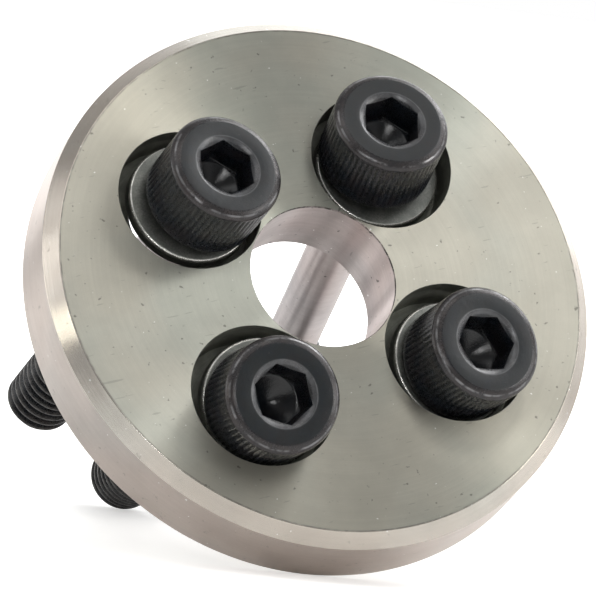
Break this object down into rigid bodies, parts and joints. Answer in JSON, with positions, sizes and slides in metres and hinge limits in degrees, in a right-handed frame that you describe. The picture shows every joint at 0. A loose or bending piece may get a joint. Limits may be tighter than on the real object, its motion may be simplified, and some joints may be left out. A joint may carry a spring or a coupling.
{
  "type": "coupling flange",
  "caption": "Flat steel coupling flange disc with a plain centre bore and loose socket cap screws on washers in counterbores; the screws lift out and turn.",
  "frame": {"origin": "centre of the shaft bore on the flat rear (mating) face of the disc", "axes": "+Z along the bore axis from the rear face towards the chamfered front face and the screw heads; +X midway between screw stations 1 and 4, +Y midway between stations 1 and 2"},
  "size_m": [0.064, 0.064, 0.0599],
  "materials": {
    "turned_steel": "fine turned bare steel",
    "black_oxide_steel": "satin black oxide on steel",
    "washer_steel": "dark satin black oxide on steel",
    "bare_shank_steel": "turned bare steel on the waisted screw shanks"
  },
  "bodies": {
    "flange": {"flange_disc": "turned_steel"},
    "washer_1": {"plain_washer_1": "washer_steel"},
    "screw_1": {"cap_screw_1": "black_oxide_steel"},
    "washer_2": {"plain_washer_2": "washer_steel"},
    "screw_2": {"cap_screw_2": "black_oxide_steel"},
    "washer_3": {"plain_washer_3": "washer_steel"},
    "screw_3": {"cap_screw_3": "black_oxide_steel"},
    "washer_4": {"plain_washer_4": "washer_steel"},
    "screw_4": {"cap_screw_4": "black_oxide_steel"}
  },
  "joints": [
    {"name": "screw_1_lift", "type": "slide", "parent": "flange", "child": "washer_1", "axis": [-0.0062, 0.1711, 0.9852], "range_m": [0, 0.055]},
    {"name": "screw_1_turn", "type": "hinge", "parent": "washer_1", "child": "screw_1", "pos_m": [0.01201, 0.01279, 0.00773], "axis": [-0.0062, 0.1711, 0.9852], "continuous": true},
    {"name": "screw_2_lift", "type": "slide", "parent": "flange", "child": "washer_2", "axis": [0.1091, 0.0465, 0.9929], "range_m": [0, 0.055]},
    {"name": "screw_2_turn", "type": "hinge", "parent": "washer_2", "child": "screw_2", "pos_m": [-0.0107, 0.01188, 0.00894], "axis": [0.1091, 0.0465, 0.9929], "continuous": true},
    {"name": "screw_3_lift", "type": "slide", "parent": "flange", "child": "washer_3", "axis": [-0.0607, -0.2244, 0.9726], "range_m": [0, 0.055]},
    {"name": "screw_3_turn", "type": "hinge", "parent": "washer_3", "child": "screw_3", "pos_m": [-0.01219, -0.01274, 0.00808], "axis": [-0.0607, -0.2244, 0.9726], "continuous": true},
    {"name": "screw_4_lift", "type": "slide", "parent": "flange", "child": "washer_4", "axis": [0.0852, -0.1147, 0.9897], "range_m": [0, 0.055]},
    {"name": "screw_4_turn", "type": "hinge", "parent": "washer_4", "child": "screw_4", "pos_m": [0.01236, -0.01274, 0.00761], "axis": [0.0852, -0.1147, 0.9897], "continuous": true}
  ]
}
